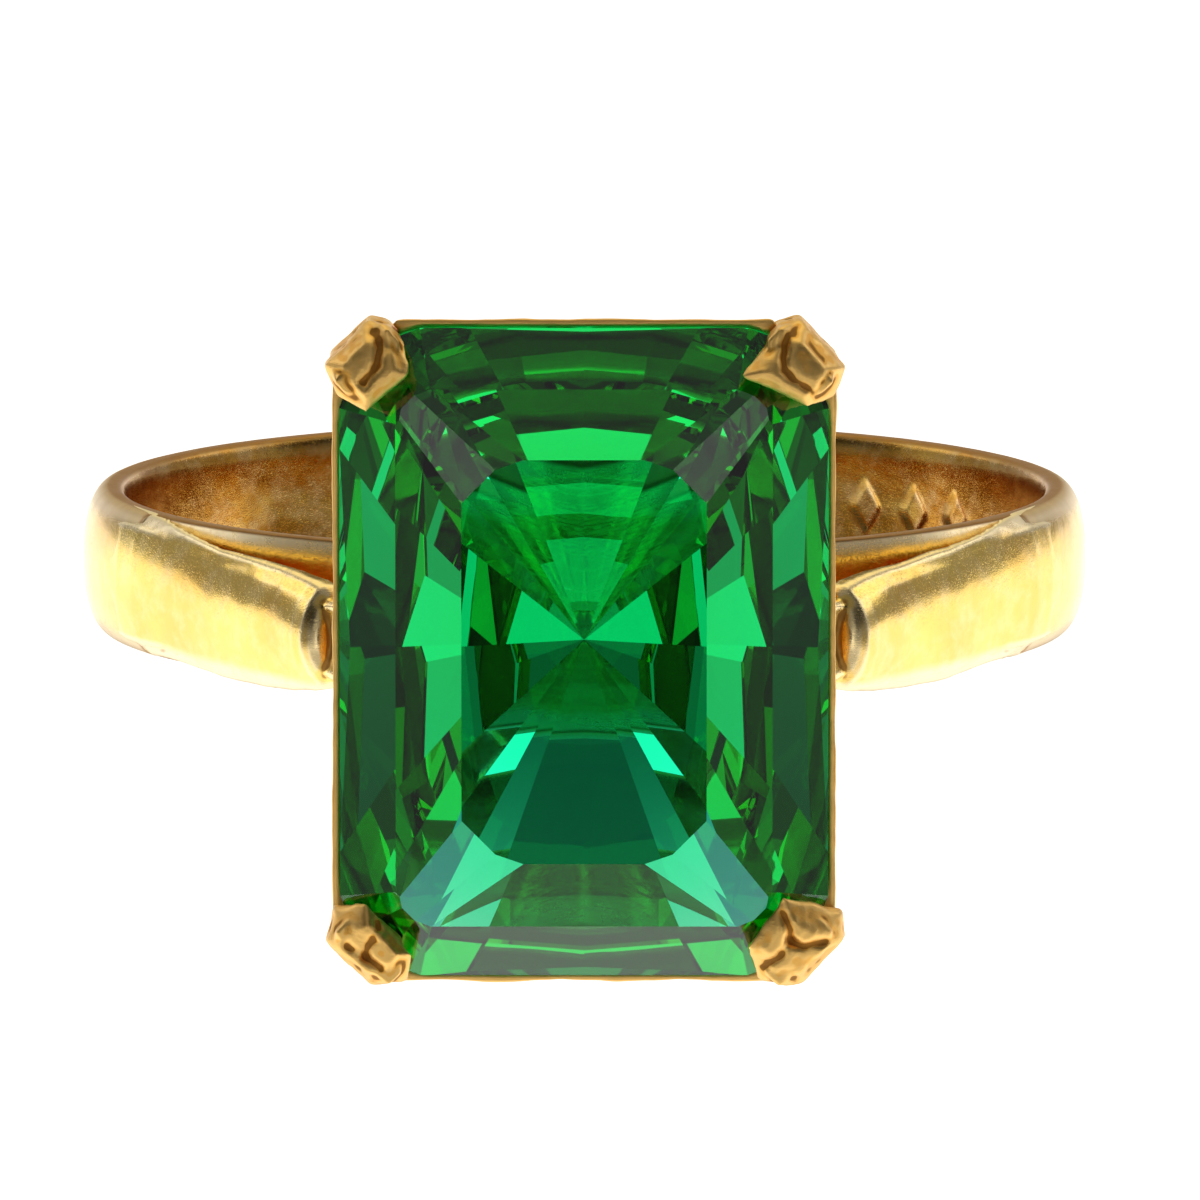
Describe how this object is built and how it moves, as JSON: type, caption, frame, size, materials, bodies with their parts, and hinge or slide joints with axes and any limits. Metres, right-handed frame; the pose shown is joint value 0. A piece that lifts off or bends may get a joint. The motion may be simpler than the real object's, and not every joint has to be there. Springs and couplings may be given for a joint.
{
  "type": "cocktail ring",
  "caption": "Claw-set cocktail ring: a plain yellow-gold hoop with lifted shoulders carries a large green cut-corner stone in an open basket.",
  "frame": {"origin": "centre of the finger hole, midway across the width of the band", "axes": "+Y along the finger hole, +Z from the hole's centre out through the middle of the stone's table, +X across the shoulders to the wearer's right shoulder of the ring"},
  "size_m": [0.019, 0.0122, 0.0239],
  "materials": {
    "gold_band": "high-carat yellow gold, polished and lightly worn",
    "gold_head": "yellow gold, hand-filed and tarnished to a brown tone",
    "green_stone": "polished transparent green stone"
  },
  "bodies": {
    "root": {"hoop": "gold_band", "shoulder_left": "gold_band", "shoulder_right": "gold_band", "base_frame": "gold_head", "seat_frame": "gold_head", "claw_left_back": "gold_head", "claw_left_front": "gold_head", "claw_right_back": "gold_head", "claw_right_front": "gold_head", "stone": "green_stone"}
  },
  "joints": []
}
